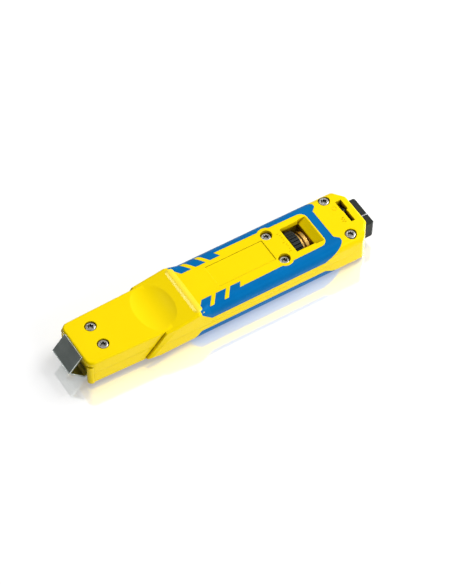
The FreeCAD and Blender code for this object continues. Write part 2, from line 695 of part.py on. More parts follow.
def handle_hollows(half):
    room = body(f"handle_hollows_{half}")
    drawn = sketch(room, f"room_handle_{half}", "XY_Plane")
    rectangle(drawn, "rib_front_x", "-hollow_half", "rib_mid_x", "hollow_half")
    rectangle(drawn, "rib_mid_x + rib_thick", "-hollow_half", "wheel_room_x - wheel_rib",
              "hollow_half")
    for sign in ("1", "-1"):
        circle(drawn, "mid_screw_x", f"{sign} * mid_screw_y", "mid_boss_r")
    rectangle(drawn, "wheel_room_x", "-(wheel_r + wheel_room_gap)", "wheel_room_rear_x",
              "wheel_r + wheel_room_gap")
    rectangle(drawn, "wheel_room_rear_x + wheel_rib", "-rear_hollow_half", "lever_rib_x",
              "rear_hollow_half")
    rectangle(drawn, "lever_room_x", "-rear_hollow_half", "lever_room_rear_x", "rear_hollow_half")
    pad(room, drawn, "hollow_z")
    return room


def wheel_window(half):
    """Opening over the wheel with the ramp behind it."""
    opening = body(f"window_{half}")
    hole = sketch(opening, f"window_hole_{half}", "XY_Plane")
    rectangle(hole, "window_x", "-window_half", "window_rear_x", "window_half")
    pad(opening, hole, "half_height + over")
    ramp = sketch(opening, f"window_ramp_{half}", "XZ_Plane")
    outline(ramp, [("window_rear_x - 0.5", "half_height - ramp_deep"),
                   ("window_rear_x", "half_height - ramp_deep"),
                   ("ramp_rear_x", "half_height"), ("ramp_rear_x", "half_height + over"),
                   ("window_rear_x - 0.5", "half_height + over")])
    pad(opening, ramp, "2 * ramp_half", symmetric=True)
    return opening


def screw_bores(half, face_z, sinks):
    """Shank holes and, where sinks are given, counterbores."""
    holes = []
    for place in ("front", "mid", "rear"):
        for side, sign in (("far", "1"), ("near", "-1")):
            x = f"{place}_screw_x"
            y = f"{sign} * {place}_screw_y"
            tag = f"{half}_{place}_{side}"
            if sinks:
                holes.append(cylinder(f"hole_{tag}", "shank_hole_r", "half_height + 2 * over",
                                      x, y, "-over", along="z"))
                floor_z = f"{face_z[place]} - {sinks[place]} - head_thick"
                holes.append(cylinder(f"counterbore_{tag}", "counterbore_r", "half_height", x, y,
                                      floor_z, along="z"))
            else:
                holes.append(cylinder(f"hole_{tag}", "shank_hole_r", "shank_end + 0.4 + over",
                                      x, y, "-over", along="z"))
    return holes


FACES = {"front": "tongue_half_height", "mid": "half_height", "rear": "half_height"}
SINKS = {"front": "head_sink", "mid": "head_sink_mid", "rear": "head_sink"}


# ---------------------------------------------------------------- grips

def grip_region(half):
    """Plan of the grip on both sides with its teeth and cross band, as a tall prism."""
    shift = "0" if half == "top" else "grip_shift_low"
    region = body(f"grip_region_{half}")
    plan = sketch(region, f"grip_plan_{half}", "XY_Plane")
    points = [("band_x + band_long", "0"), ("band_x + band_long", "band_corner_y"),
              ("band_corner_x", "grip_inner_rear_y"), ("band_corner_x", "half_width + over"),
              (f"grip_tip_x + {shift}", "half_width + over"),
              (f"grip_tip_x + {shift}", "tooth_outer_y")]
    for number in range(3):
        front_x = f"tooth_x + {shift} + {number} * tooth_pitch"
        rear_x = f"{front_x} + tooth_long"
        if number:
            points.append((f"{front_x} - tooth_lean", "tooth_outer_y"))
        points.append((front_x, "tooth_inner_y"))
        points.append((rear_x, "tooth_inner_y"))
        if number < 2:
            points.append((f"{rear_x} - tooth_lean", "tooth_outer_y"))
        else:
            points.append((f"{rear_x} - tooth_last_step", "grip_inner_y"))
    points.append(("band_x", "grip_inner_rear_y"))
    points.append(("band_x", "0"))
    outline(plan, points)
    raised = pad(region, plan, "half_height + over")
    band = value("band_x")
    inner = value("grip_inner_rear_y")
    fillet(region, lambda edge, mid: abs(mid.x - band) < 0.01 and abs(mid.y - inner) < 0.01,
           "band_inner_r")
    mirrored(region, [raised, region.Tip])

    side = sketch(region, f"grip_ends_{half}", "XZ_Plane")
    outline(side, [(f"grip_side_x + {shift}", "grip_side_z"), (f"grip_tip_x + {shift}", "grip_tip_z"),
                   (f"grip_tip_x + {shift} - over", "grip_tip_z"),
                   (f"grip_tip_x + {shift} - over", "grip_side_z")])
    outline(side, [("grip_rear_side_x", "grip_side_z"), ("band_corner_x + 0.3", "half_height"),
                   ("band_corner_x + over", "half_height"), ("band_corner_x + over", "grip_side_z")])
    pocket(region, side, "4 * half_width", symmetric=True)
    base = sketch(region, f"grip_foot_{half}", "XY_Plane")
    rectangle(base, "-tail_x", "-2 * half_width", "tail_x", "2 * half_width")
    pocket(region, base, "grip_side_z", reverse=True)
    return region


def grip_blank(half, form):
    """A skin of the outer form inside the grip's region, clear of the middle screws."""
    core = body(f"grip_core_{half}")
    section = sketch(core, f"grip_core_section_{half}", "YZ_Plane", "-tail_x")
    rectangle(section, "-(half_width - grip_depth)", "-over", "half_width - grip_depth",
              "half_height - grip_depth")
    pad(core, section, "2 * tail_x")
    inner = value("half_width - grip_depth")
    fillet(core, lambda edge, mid: mid.z > 5 and abs(abs(mid.y) - inner) < 0.01
           and edge.Length > 100, "corner_r - grip_depth")
    bumps = [cylinder(f"grip_bump_{half}_{side}", "boss_bump_r", "half_height + over",
                      "mid_screw_x", f"{sign} * mid_screw_y", "0", along="z")
             for side, sign in (("far", "1"), ("near", "-1"))]
    skin = common(f"grip_skin_{half}", form, grip_region(half))
    return cut(f"grip_blank_{half}", skin, fuse(f"grip_tools_{half}", [core] + bumps))


grip_top = grip_blank("top", form_top)
grip_low = grip_blank("low", form_low)


# ---------------------------------------------------------------- shells

def shell(half, form, grip, extra):
    """The form without its hollows, the bore along it, the screw holes and the grip's seat."""
    sinks = SINKS if half == "top" else None
    tunnel = cylinder(f"tunnel_{half}", "tunnel_r", "lever_room_rear_x - nose_recess_x + 1",
                      "nose_recess_x - 1")
    neck = box(f"neck_room_{half}", "lever_room_rear_x - 1", "-neck_half", "-over",
               "tail_x + over", "neck_half", "neck_half_height")
    lip = box(f"lip_room_{half}", "lip_x", "-(neck_half + lip_step)", "-over",
              "lip_x + lip_thick", "neck_half + lip_step", "neck_half_height + lip_step")
    tools = [hollows(half), handle_hollows(half), wheel_window(half), tunnel, neck, lip]
    tools += screw_bores(half, FACES, sinks)
    tools += extra
    hollowed = cut(f"hollowed_{half}", form, fuse(f"tools_{half}", tools))
    return cut(f"shell_{half}", hollowed, grip)


def selector_slot():
    return [box("slot_wide", "slot_x", "slot_step_y", "0", "slot_rear_x", "slot_far_y",
                "half_height + over"),
            box("slot_narrow", "slot_narrow_x", "slot_near_y", "0", "slot_narrow_rear_x",
                "slot_step_y + 0.1", "half_height + over")]


label_field = box("label_field", "label_x", "-label_half", "half_height - label_deep",
                  "label_rear_x", "label_half", "half_height + over")
slider_slot = box("slider_slot", "slider_x - hook_travel - slider_end_gap", "-slider_slot_half",
                  "0", "slider_x + slider_long + slider_end_gap", "slider_slot_half",
                  "half_height + over")
shell_top = shell("top", form_top, grip_top, selector_slot() + [label_field])
shell_low = shell("low", form_low, grip_low, [slider_slot])
node("top_shell", shell_top)
node("bottom_shell", flipped("shell_low_flipped", shell_low))
grip_copy = doc.addObject("Part::Compound", "grip_top_piece")
grip_copy.Links = [grip_top]
node("top_grip", grip_copy)
node("bottom_grip", flipped("grip_low_flipped", grip_low))


# ---------------------------------------------------------------- screws

def screw(tag, x, y, head_top):
    """Pan head with a six-lobe recess, and its shank down into the lower shell."""
    head = cylinder(f"head_{tag}", "head_r", "head_thick", x, y, f"{head_top} - head_thick", "z")
    domed = doc.addObject("Part::Fillet", f"dome_{tag}")
    domed.Base = head
    doc.recompute()
    top_z = value(head_top)
    rim = [number for number, edge in enumerate(head.Shape.Edges, start=1)
           if abs(edge.CenterOfMass.z - top_z) < 0.01]
    domed.Edges = [(number, value("dome_r"), value("dome_r")) for number in rim]
    shank = cylinder(f"shank_{tag}", "shank_r", f"{head_top} - head_thick + shank_end", x, y,
                     "-shank_end", "z")
    recess = [cylinder(f"recess_{tag}", "recess_core_r", "recess_deep + 1", x, y,
                       f"{head_top} - recess_deep", "z")]
    for lobe in range(6):
        lobe_x = f"{x} + lobe_circle_r * cos({60 * lobe} * 1deg)"
        lobe_y = f"{y} + lobe_circle_r * sin({60 * lobe} * 1deg)"
        recess.append(cylinder(f"lobe_{tag}_{lobe}", "lobe_r", "recess_deep + 1", lobe_x, lobe_y,
                               f"{head_top} - recess_deep", "z"))
    solid = fuse(f"solid_{tag}", [domed, shank])
    return cut(f"screw_{tag}", solid, fuse(f"drive_{tag}", recess))


for place in ("front", "mid", "rear"):
    pair = [screw(f"{place}_{side}", f"{place}_screw_x", f"{sign} * {place}_screw_y",
                  f"{FACES[place]} - {SINKS[place]}")
            for side, sign in (("far", "1"), ("near", "-1"))]
    full_name = {"front": "front_screws", "mid": "middle_screws", "rear": "rear_screws"}[place]
    node(full_name, group(f"pair_{place}", pair))


# ---------------------------------------------------------------- hook

def clamp_hook():
    """Steel strip: a V in front of the nose, then flat under the tongue."""
    made = body("hook_strip")
    side = sketch(made, "hook_side", "XZ_Plane")
    under = "-(tongue_half_height + strip_gap + strip_thick)"
    upper = "-(tongue_half_height + strip_gap)"
    rise = "(hook_end_z - hook_apex_z)"
    run = "(hook_end_x - hook_apex_x)"
    leg = f"sqrt({rise} * {rise} + {run} * {run})"
    step_x = f"strip_thick * {rise} / {leg}"
    step_z = f"strip_thick * {run} / {leg}"
    # where the legs' inner faces meet: one runs along the upper leg, the other falls 1 in 1
    inner_x = (f"(hook_apex_x + ({step_x} * {rise} / {run} + {step_z} + strip_thick * sqrt(2))"
               f" / ({rise} / {run} + 1))")
    inner_z = f"(hook_apex_z + strip_thick * sqrt(2) - ({inner_x} - hook_apex_x))"
    outline(side, [("hook_end_x", "hook_end_z"), ("hook_apex_x", "hook_apex_z"),
                   (f"hook_apex_x + hook_apex_z - ({under})", under),
                   ("strip_rear_x", under), ("strip_rear_x", upper),
                   (f"{inner_x} + {inner_z} - ({upper})", upper),
                   (inner_x, inner_z),
                   (f"hook_end_x + {step_x}", f"hook_end_z - {step_z}")])
    pad(made, side, "2 * strip_half", symmetric=True)
    waist = sketch(made, "hook_waist", "XY_Plane")
    for sign in ("1", "-1"):
        outline(waist, [("hook_waist_x", f"{sign} * (strip_half + over)"),
                        ("hook_waist_x", f"{sign} * strip_half"),
                        ("hook_waist_x + hook_waist_long", f"{sign} * strip_tail_half"),
                        ("strip_rear_x + over", f"{sign} * strip_tail_half"),
                        ("strip_rear_x + over", f"{sign} * (strip_half + over)")])
    pocket(made, waist, "4 * half_height", symmetric=True)
    hole = circle(sketch(made, "hook_hole", "XY_Plane"), "hook_hole_x", "0", "hook_hole_r")
    pocket(made, hole, "half_height")
    apex_x = value("hook_apex_x")
    fillet(made, lambda edge, mid: abs(mid.x - apex_x) < 0.01, "hook_bend_r")
    bend_x = value(inner_x)
    bend_z = value(inner_z)
    fillet(made, lambda edge, mid: abs(mid.x - bend_x) < 0.01 and abs(mid.z - bend_z) < 0.01,
           "hook_bend_inner_r")
    return made


def thumb_pad():
    """Arrow-shaped pad under the strip with cross ribs."""
    made = body("pad_body")
    top_z = "-(tongue_half_height + strip_gap + strip_thick)"
    plan = sketch(made, "pad_plan", "XY_Plane", top_z)
    outline(plan, [("pad_tip_x", "-pad_tip_half"), ("pad_wing_x", "-pad_half"),
                   ("strip_rear_x", "-pad_half"), ("strip_rear_x", "pad_half"),
                   ("pad_wing_x", "pad_half"), ("pad_tip_x", "pad_tip_half")])
    pad(made, plan, "pad_thick", reverse=True)
    ribs = sketch(made, "pad_ribs", "XY_Plane", f"{top_z} - pad_thick")
    for number in range(3):
        low_x = f"pad_rib_x + {number} * pad_rib_pitch"
        reach = f"(pad_rib_half + {number} * pad_rib_growth)"
        rectangle(ribs, low_x, f"-{reach}", f"{low_x} + pad_rib_long", reach)
    pad(made, ribs, "pad_rib", reverse=True)
    return made


def hook_slider():
    """Block inside the tongue that rides in the floor slot and carries the strip."""
    block = box("slider_block", "slider_x", "-slider_half", "-(tongue_half_height + strip_gap)",
                "slider_x + slider_long", "slider_half", "slider_top_z")
    holes = [cylinder(f"slider_hole_{number}", "rivet_r", "half_height",
                      f"slider_x + rivet_inset + {number} * rivet_pitch", "0", "-half_height", along="z")
             for number in range(2)]
    return cut("slider", block, fuse("slider_holes", holes))


def hook_rivets():
    low_z = "-(tongue_half_height + strip_gap + strip_thick)"
    pins = [cylinder(f"rivet_{number}", "rivet_r", f"slider_top_z - ({low_z})",
                     f"slider_x + rivet_inset + {number} * rivet_pitch", "0", low_z, along="z")
            for number in range(2)]
    return group("rivets", pins)


def strip_with_holes():
    low_z = "-(half_height + over)"
    holes = [cylinder(f"strip_hole_{number}", "rivet_r", "over + 3",
                      f"slider_x + rivet_inset + {number} * rivet_pitch", "0", low_z, along="z")
             for number in range(2)]
    return cut("hook_strip_bored", clamp_hook(), fuse("strip_holes", holes))


node("clamp_hook", strip_with_holes())
node("thumb_pad", thumb_pad())
node("hook_slider", hook_slider())
node("hook_rivets", hook_rivets())
coil_x = "slider_x + slider_long + spring_end_gap"
coil_long = f"anchor_x - anchor_r - spring_end_gap - ({coil_x})"
coil_out = cylinder("coil_out", "spring_r", coil_long, coil_x, "0", "spring_z")
coil_in = cylinder("coil_in", "spring_r - spring_wire", f"{coil_long} + 2", f"{coil_x} - 1", "0",
                   "spring_z")
node("hook_spring", cut("coil", coil_out, coil_in))
node("spring_anchor", cylinder("anchor", "anchor_r", "tongue_hollow_z + anchor_top_z", "anchor_x", "0",
                               "-tongue_hollow_z", along="z"))


# ---------------------------------------------------------------- blade, shaft and bushes

def ring(name, outer, inner, length, x):
    solid = cylinder(f"{name}_out", outer, length, x)
    bore = cylinder(f"{name}_in", inner, f"{length} + 2", f"{x} - 1")
    return cut(name, solid, bore)


node("nose_bush", ring("nose_ring", "tunnel_r", "holder_r + shaft_fit",
                       "tongue_hollow_front - nose_recess_x", "nose_recess_x"))
node("shaft_bushes", group("bushes", [
    ring("bush_front", "tunnel_r", "shaft_r + shaft_fit", "bush_long", "tongue_hollow_rear"),
    ring("bush_middle", "tunnel_r", "shaft_r + shaft_fit", "bush_long", "rib_mid_x")]))

round_part = cylinder("shaft_round", "shaft_r", "shaft_square_x - shaft_front_x", "shaft_front_x")
square_part = box("shaft_square", "shaft_square_x", "-shaft_square_half", "-shaft_square_half",
                  "shaft_rear_x", "shaft_square_half", "shaft_square_half")
node("blade_shaft", fuse("shaft", [round_part, square_part]))

holder_solid = cylinder("holder_solid", "holder_r", "holder_rear_x - holder_x", "holder_x")
holder_bore = cylinder("holder_bore", "shaft_r", "holder_rear_x - shaft_front_x + 1",
                       "shaft_front_x")
holder_slit = box("holder_slit", "holder_x - 1", "-blade_thick / 2", "-blade_half",
                  "blade_tip_x + blade_long + 0.1", "blade_thick / 2", "blade_half")
grub_hole = cylinder("grub_hole", "grub_r", "holder_r", "grub_x", "-holder_r", along="y")
node("blade_holder", cut("holder", holder_solid,
                         fuse("holder_tools", [holder_bore, holder_slit, grub_hole])))


def blade():
    """Swivel blade with a slanted edge, standing across the cable."""
    made = body("blade_body")
    side = sketch(made, "blade_side", "XZ_Plane")
    outline(side, [("blade_tip_x", "-blade_tip_half"), ("blade_tip_x", "blade_tip_half"),
                   ("blade_tip_x + blade_nose", "blade_half"),
                   ("blade_tip_x + blade_long", "blade_half"),
                   ("blade_tip_x + blade_long", "-blade_half"),
                   ("blade_tip_x + blade_nose", "-blade_half")])
    pad(made, side, "blade_thick", symmetric=True)
    return made


node("blade", blade())
node("blade_grub_screw", cylinder("grub", "grub_r", "holder_r - blade_thick / 2 - 0.1", "grub_x",
                                  "-holder_r + 0.1", along="y"))


# ---------------------------------------------------------------- depth drive

def thumbwheel():
    made = body("wheel_body")
    face = circle(sketch(made, "wheel_face", "YZ_Plane", "wheel_x"), "0", "0", "wheel_r")
    circle(face, "0", "0", "wheel_bore_r")
    pad(made, face, "wheel_thick")
    rim = value("wheel_r")
    chamfer(made, lambda edge, mid: abs((mid.y ** 2 + mid.z ** 2) ** 0.5 - rim) < 0.01
            and edge.Length > 10, "wheel_edge")
    notch = sketch(made, "knurl", "YZ_Plane", "wheel_x")
    outline(notch, [("-knurl_half", "wheel_r + 0.5"), ("0", "wheel_r - knurl_deep"),
                    ("knurl_half", "wheel_r + 0.5")])
    first = pocket(made, notch, "wheel_thick", reverse=True)
    pattern = made.newObject("PartDesign::PolarPattern", "knurl_pattern")
    pattern.Originals = [first]
    axis = next(item for item in made.Origin.OriginFeatures if item.Role == "X_Axis")
    pattern.Axis = (axis, [""])
    pattern.Angle = 360
    pattern.setExpression("Occurrences", bound("wheel_teeth"))
    made.Tip = pattern
    doc.recompute()
    return made


def wheel_nut():
    """Brass nut: a hub in the wheel, a grooved collar behind it and a journal at each end."""
    journal = cylinder("nut_journal", "nut_journal_r", "nut_rear_x - nut_x", "nut_x")
    hub = cylinder("nut_hub", "wheel_bore_r", "nut_flange_x - wheel_x", "wheel_x")
    collar = cylinder("nut_collar", "nut_flange_r", "nut_flange_thick", "nut_flange_x")
    bore = cylinder("nut_bore", "sleeve_r + shaft_fit", "nut_rear_x - nut_x + 2", "nut_x - 1")
    groove = ring("nut_groove", "nut_flange_r + 1", "nut_flange_r - nut_groove_deep",
                  "nut_groove_wide", "nut_groove_x")
    return cut("nut", fuse("nut_solid", [journal, hub, collar]), fuse("nut_tools", [bore, groove]))


node("thumbwheel", thumbwheel())
node("wheel_nut", wheel_nut())

tube = ring("sleeve_tube", "sleeve_r", "shaft_r + shaft_fit", "sleeve_rear_x - sleeve_x", "sleeve_x")
key_seat = box("key_seat", "key_x", "-key_half", "key_seat_z", "key_x + key_long", "key_half",
               "sleeve_r + 1")
node("threaded_sleeve", cut("sleeve", tube, key_seat))
node("sleeve_key", box("key", "key_x", "-key_half", "key_seat_z", "key_x + key_long", "key_half",
                       "key_top_z"))

guide_block = box("guide_block", "guide_x", "-guide_half", "-guide_half_height",
                  "guide_x + guide_long", "guide_half", "guide_half_height")
guide_bore = cylinder("guide_bore", "sleeve_r + shaft_fit", "guide_long + 2", "guide_x - 1")
guide_slit = box("guide_slit", "guide_x - 1", "-(key_half + key_fit)", "0",
                 "guide_x + guide_long + 1", "key_half + key_fit", "key_top_z + 0.3")
node("sleeve_guide", cut("guide", guide_block, fuse("guide_tools", [guide_bore, guide_slit])))

node("shaft_clips", group("clips", [
    ring("clip_front", "clip_r", "shaft_r", "clip_thick", "sleeve_x - clip_gap - clip_thick"),
    ring("clip_rear", "clip_r", "shaft_r", "clip_thick", "sleeve_rear_x + clip_gap")]))


# ---------------------------------------------------------------- selector lever and detent

def selector_lever():
    """Hub on the square shaft, a disc that closes the slot and a thin fin up into the slot."""
    hub = cylinder("lever_hub", "lever_hub_r", "lever_hub_rear_x - lever_hub_x", "lever_hub_x")
    disc = cylinder("lever_disc", "lever_disc_r", "lever_thick", "lever_x")
    fin = box("lever_fin", "fin_x", "-lever_half", "0", "fin_x + fin_thick", "lever_half", "fin_r")
    upright = group("lever_upright", [fin])
    upright.Placement = FreeCAD.Placement(FreeCAD.Vector(), FreeCAD.Rotation(AXIS_X, 0))
    upright.setExpression("Placement.Rotation.Angle", bound("-lever_rest_deg"))
    upright.setExpression("Placement.Rotation.Axis.x", "-1")
    bore = box("lever_bore", "lever_hub_x - 1", "-(shaft_square_half + square_fit)",
               "-(shaft_square_half + square_fit)", "lever_hub_rear_x + 1",
               "shaft_square_half + square_fit", "shaft_square_half + square_fit")
    return cut("lever", fuse("lever_solid", [hub, disc, upright]), bore)


def detent_spring():
    """Leaf across the lever's room that presses up towards the hub."""
    made = body("detent_body")
    section = sketch(made, "detent_section", "YZ_Plane", "lever_room_x + detent_gap")
    outline(section, [("-detent_half", "detent_z"), ("-detent_crown_half", "detent_z"),
                      ("0", "detent_crown_z - detent_thick"), ("detent_crown_half", "detent_z"),
                      ("detent_half", "detent_z"), ("detent_half", "detent_z + detent_thick"),
                      ("detent_crown_half - 0.1", "detent_z + detent_thick"),
                      ("0", "detent_crown_z"),
                      ("0.1 - detent_crown_half", "detent_z + detent_thick"),
                      ("-detent_half", "detent_z + detent_thick")])
    pad(made, section, "detent_wide")
    return made


node("selector_lever", selector_lever())
node("detent_spring", detent_spring())


# ---------------------------------------------------------------- tail shoe

def tail_shoe():
    made = body("shoe_body")
    side = sketch(made, "shoe_side", "XZ_Plane")
    outline(side, [("tail_x", "shoe_low_z"), ("shoe_x - shoe_chamfer", "shoe_low_z"),
                   ("shoe_x - 0.2", "shoe_low_z + shoe_chamfer"), ("shoe_x", "shoe_top_z - 0.4"),
                   ("shoe_x - 0.4", "shoe_top_z"), ("tail_x", "shoe_top_z")])
    pad(made, side, "2 * shoe_half", symmetric=True)
    outer = value("shoe_x")
    half = value("shoe_half")
    fillet(made, lambda edge, mid: abs(abs(mid.y) - half) < 0.01 and mid.x > outer - 0.3
           and edge.Length > 5, "shoe_corner_r")
    neck = rectangle(sketch(made, "shoe_neck", "YZ_Plane", "tail_x"), "-neck_half",
                     "-neck_half_height", "neck_half", "neck_half_height")
    pad(made, neck, "tail_x - lip_x", reverse=True)
    lip = rectangle(sketch(made, "shoe_lip", "YZ_Plane", "lip_x"), "-(neck_half + lip_step)",
                    "-(neck_half_height + lip_step)", "neck_half + lip_step",
                    "neck_half_height + lip_step")
    pad(made, lip, "lip_thick")
    bore = circle(sketch(made, "shoe_bore", "YZ_Plane", "lip_x"), "0", "0", "shoe_bore_r")
    pocket(made, bore, "shaft_rear_x - lip_x + 0.6", reverse=True)
    slit = sketch(made, "shoe_slit", "XZ_Plane", "plate_thick / 2 - plate_y")
    rectangle(slit, "plate_x", "plate_low_z", "shoe_x + 1", "shoe_top_z + 1")
    pocket(made, slit, "plate_thick")
    return made


node("tail_shoe", tail_shoe())
node("tail_plate", box("plate", "plate_x", "plate_y - plate_thick / 2", "plate_low_z",
                       "shoe_x - 0.05", "plate_y + plate_thick / 2", "shoe_top_z + plate_proud"))


# ---------------------------------------------------------------- check and write

doc.recompute()
for obj in doc.Objects:
    if "Invalid" in obj.State or "Error" in obj.State:
        raise ValueError(f"{obj.Name} failed: {obj.State}")
for obj in NODES:
    if obj.Shape.isNull() or not obj.Shape.isValid():
        raise ValueError(f"{obj.Label} has no valid shape")

os.makedirs(OUT_DIR, exist_ok=True)
for obj in NODES:
    obj.Shape.exportStep(os.path.join(OUT_DIR, obj.Label + ".step"))
    size = obj.Shape.BoundBox
    print(f"{obj.Label:18s} solids {len(obj.Shape.Solids)}  volume {obj.Shape.Volume:9.1f}  "
          f"x {size.XMin:7.2f} {size.XMax:7.2f}  y {size.YMin:7.2f} {size.YMax:7.2f}  "
          f"z {size.ZMin:7.2f} {size.ZMax:7.2f}")
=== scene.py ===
"""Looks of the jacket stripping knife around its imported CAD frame: materials, small moulded
marks, a wound hook spring, a pale floor, soft studio light and the camera.

Everything is in metres in the row frame: +X from hook to tail, +Y across, +Z up from the floor.
"""

import json
import math

import bmesh
import bpy
from mathutils import Matrix, Vector


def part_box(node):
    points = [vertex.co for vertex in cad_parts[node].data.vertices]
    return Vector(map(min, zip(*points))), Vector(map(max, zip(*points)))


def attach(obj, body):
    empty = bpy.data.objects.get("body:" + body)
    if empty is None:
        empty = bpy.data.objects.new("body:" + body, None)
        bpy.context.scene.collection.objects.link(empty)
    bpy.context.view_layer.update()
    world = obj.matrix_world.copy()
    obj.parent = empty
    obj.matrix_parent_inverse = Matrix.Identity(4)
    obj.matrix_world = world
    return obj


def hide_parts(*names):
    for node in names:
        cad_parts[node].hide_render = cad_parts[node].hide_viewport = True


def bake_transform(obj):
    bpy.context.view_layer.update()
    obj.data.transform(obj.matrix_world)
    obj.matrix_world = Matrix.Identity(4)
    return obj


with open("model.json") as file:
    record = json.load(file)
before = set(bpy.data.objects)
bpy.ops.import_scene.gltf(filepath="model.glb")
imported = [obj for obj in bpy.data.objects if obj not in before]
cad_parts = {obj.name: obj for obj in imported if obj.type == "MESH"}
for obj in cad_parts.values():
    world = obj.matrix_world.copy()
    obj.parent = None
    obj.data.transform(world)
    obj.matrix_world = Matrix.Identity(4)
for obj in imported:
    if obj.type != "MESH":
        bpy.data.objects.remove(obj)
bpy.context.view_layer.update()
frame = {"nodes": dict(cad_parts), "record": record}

MM = 0.001

TOP_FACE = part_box("top_shell")[1].z
TOP_HALF_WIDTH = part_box("top_shell")[1].y
WHEEL_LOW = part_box("thumbwheel")[0]
LEVER_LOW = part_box("selector_lever")[0]
SPRING_LOW, SPRING_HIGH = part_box("hook_spring")


# ---------------------------------------------------------------- materials

class Recipe:
    """A node material: thin wrapper that keeps the node code short."""

    def __init__(self, name):
        self.material = bpy.data.materials.new(name)
        self.material.use_nodes = True
        self.tree = self.material.node_tree
        self.shader = self.tree.nodes["Principled BSDF"]
        self.place = self.node("ShaderNodeTexCoord").outputs["Object"]

    def node(self, kind, **settings):
        made = self.tree.nodes.new(kind)
        for key, value in settings.items():
            setattr(made, key, value)
        return made

    def link(self, output, socket):
        self.tree.links.new(output, socket)

    def set(self, **sockets):
        """Constants on the shader's own sockets; underscores stand for spaces."""
        for key, value in sockets.items():
            self.shader.inputs[key.replace("_", " ")].default_value = value

    def stretched(self, scale):
        """Object coordinates multiplied by a scale for each axis."""
        made = self.node("ShaderNodeMapping")
        made.inputs["Scale"].default_value = scale
        self.link(self.place, made.inputs["Vector"])
        return made.outputs["Vector"]

    def noise(self, scale, detail=3.0, roughness=0.55, stretch=None):
        made = self.node("ShaderNodeTexNoise")
        made.inputs["Scale"].default_value = scale
        made.inputs["Detail"].default_value = detail
        made.inputs["Roughness"].default_value = roughness
        place = self.place if stretch is None else self.stretched(stretch)
        self.link(place, made.inputs["Vector"])
        return made.outputs["Fac"]

    def cells(self, scale):
        made = self.node("ShaderNodeTexVoronoi")
        made.inputs["Scale"].default_value = scale
        self.link(self.place, made.inputs["Vector"])
        return made.outputs["Distance"]

    def spread(self, source, low, high, start=0.0, stop=1.0):
        """The source's start..stop range turned into low..high."""
        made = self.node("ShaderNodeMapRange")
        made.inputs["From Min"].default_value = start
        made.inputs["From Max"].default_value = stop
        made.inputs["To Min"].default_value = low
        made.inputs["To Max"].default_value = high
        self.link(source, made.inputs["Value"])
        return made.outputs["Result"]

    def blend_colours(self, factor, first, second):
        made = self.node("ShaderNodeMix", data_type="RGBA")
        self.link(factor, made.inputs["Factor"])
        for socket, colour in ((made.inputs["A"], first), (made.inputs["B"], second)):
            if isinstance(colour, tuple):
                socket.default_value = (*colour, 1.0)
            else:
                self.link(colour, socket)
        return made.outputs["Result"]

    def rounded(self, radius):
        """Normal with every sharp edge eased over a small radius."""
        made = self.node("ShaderNodeBevel", samples=6)
        made.inputs["Radius"].default_value = radius
        return made.outputs["Normal"]

    def edges(self, eased, start=0.02, stop=0.25):
        """1 on sharp edges and 0 on flat ground."""
        ground = self.node("ShaderNodeNewGeometry").outputs["Normal"]
        dot = self.node("ShaderNodeVectorMath", operation="DOT_PRODUCT")
        self.link(eased, dot.inputs[0])
        self.link(ground, dot.inputs[1])
        return self.spread(dot.outputs["Value"], 0.0, 1.0, 1.0 - start, 1.0 - stop)

    def shelter(self, distance, start, stop, own=True):
        """0 deep in a recess and 1 in the open; own leaves other bodies out."""
        made = self.node("ShaderNodeAmbientOcclusion", samples=8, only_local=own)
        made.inputs["Distance"].default_value = distance
        return self.spread(made.outputs["AO"], 0.0, 1.0, start, stop)

    def bump(self, height, strength, distance, normal=None):
        made = self.node("ShaderNodeBump")
        made.inputs["Strength"].default_value = strength
        made.inputs["Distance"].default_value = distance
        self.link(height, made.inputs["Height"])
        if normal is not None:
            self.link(normal, made.inputs["Normal"])
        return made.outputs["Normal"]

    def finish(self, colour, roughness, normal):
        self.link(colour, self.shader.inputs["Base Color"])
        self.link(roughness, self.shader.inputs["Roughness"])
        self.link(normal, self.shader.inputs["Normal"])
        return self.material


def moulded_plastic(name, deep, pale, rough, grain=0.35, ease=0.35 * MM, specular=0.4,
                    tint=(1.0, 1.0, 1.0), lift=1.06):
    """Injection-moulded plastic: flow clouds, spark texture, lighter edges (slight rubbed wear on
    the light colours, painted highlight lines on the black), painted shade in creases and
    recesses, and a painted contact shadow near other parts and the floor.
    """
    made = Recipe(name)
    clouds = made.noise(38.0, 4.0)
    fine = made.noise(2600.0, 2.0)
    spark = made.cells(1900.0)
    eased = made.rounded(ease)
    edge_share = made.edges(eased)
    body = made.blend_colours(made.spread(clouds, 0.0, 1.0, 0.3, 0.7), deep, pale)
    # edges lightened by lift: a slight rubbed wear at small lifts, painted highlight lines at
    # large lifts such as the black's
    lifted = tuple(min(1.0, channel * lift) for channel in pale)
    rubbed_and_highlit = made.blend_colours(made.spread(edge_share, 0.0, 0.6), body, lifted)
    # painted shade: creases, grooves and slot walls darkened through a short occlusion reach
    painted_crease_shade = (deep[0] * 0.2, deep[1] * 0.14, deep[2] * 0.14)
    crease_shaded = made.blend_colours(made.shelter(1.8 * MM, 0.42, 0.86), painted_crease_shade, rubbed_and_highlit)
    # painted contact shadow: darker near other parts and the floor and deep inside openings
    painted_contact_shadow = (deep[0] * 0.1, deep[1] * 0.05, deep[2] * 0.05)
    colour = made.blend_colours(made.shelter(8.0 * MM, 0.1, 0.5, own=False), painted_contact_shadow, crease_shaded)
    roughness = made.spread(fine, rough - 0.05, rough + 0.07, 0.3, 0.7)
    texture = made.bump(spark, grain, 0.00003, made.bump(fine, grain * 0.6, 0.00002, eased))
    made.set(Specular_IOR_Level=specular, IOR=1.38, Specular_Tint=(*tint, 1.0))
    return made.finish(colour, roughness, texture)


